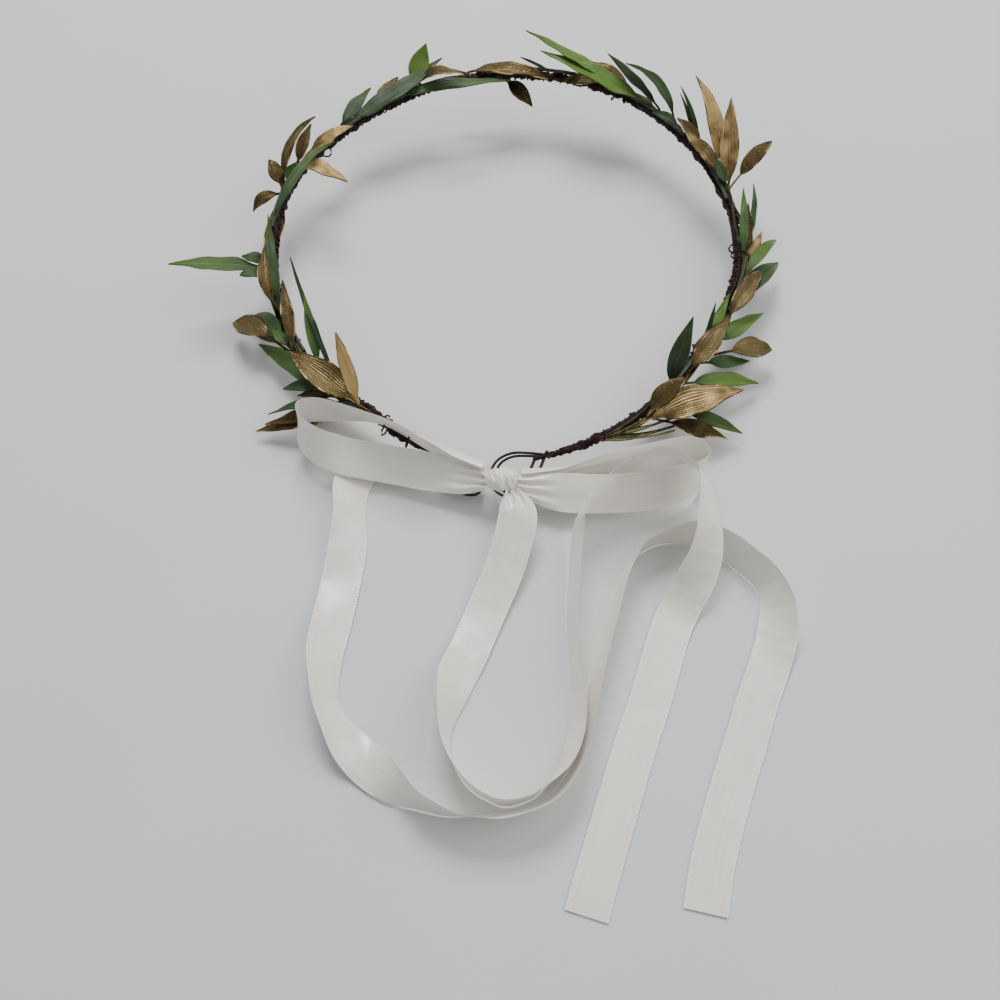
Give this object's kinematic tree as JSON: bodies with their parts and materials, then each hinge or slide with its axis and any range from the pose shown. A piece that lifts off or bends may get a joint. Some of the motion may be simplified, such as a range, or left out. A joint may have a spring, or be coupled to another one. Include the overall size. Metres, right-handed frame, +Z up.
{
  "type": "leaf tiara",
  "caption": "Open wire hoop dressed with green and gilded leaf sprays, tied at the back by a satin ribbon bow with two long tails.",
  "frame": {"origin": "middle of the head opening, on the surface that the tiara lies on", "axes": "+Z up from the surface, +Y to the front of the tiara, away from the bow, +X to its right as seen from the bow"},
  "size_m": [0.2215, 0.327, 0.0401],
  "materials": {
    "bound_wire": "dark binding wire, satin",
    "green_leaf": "moulded leaf, soft sheen",
    "gilded_leaf": "worn metallic gold paint",
    "satin_ribbon": "white satin"
  },
  "bodies": {
    "root": {"hoop_wire": "bound_wire", "green_spray_1": "green_leaf", "green_spray_2": "green_leaf", "green_spray_3": "green_leaf", "green_spray_4": "green_leaf", "green_spray_5": "green_leaf", "green_spray_6": "green_leaf", "green_spray_7": "green_leaf", "green_spray_8": "green_leaf", "green_spray_9": "green_leaf", "green_spray_10": "green_leaf", "gold_spray_1": "gilded_leaf", "gold_spray_2": "gilded_leaf", "gold_spray_3": "gilded_leaf", "gold_spray_4": "gilded_leaf", "gold_spray_5": "gilded_leaf", "gold_spray_6": "gilded_leaf", "gold_spray_7": "gilded_leaf", "gold_spray_8": "gilded_leaf", "gold_spray_9": "gilded_leaf", "bow_knot": "satin_ribbon", "bow_loop_left": "satin_ribbon", "bow_loop_right": "satin_ribbon", "ribbon_tail_left": "satin_ribbon", "ribbon_tail_right": "satin_ribbon"}
  },
  "joints": []
}
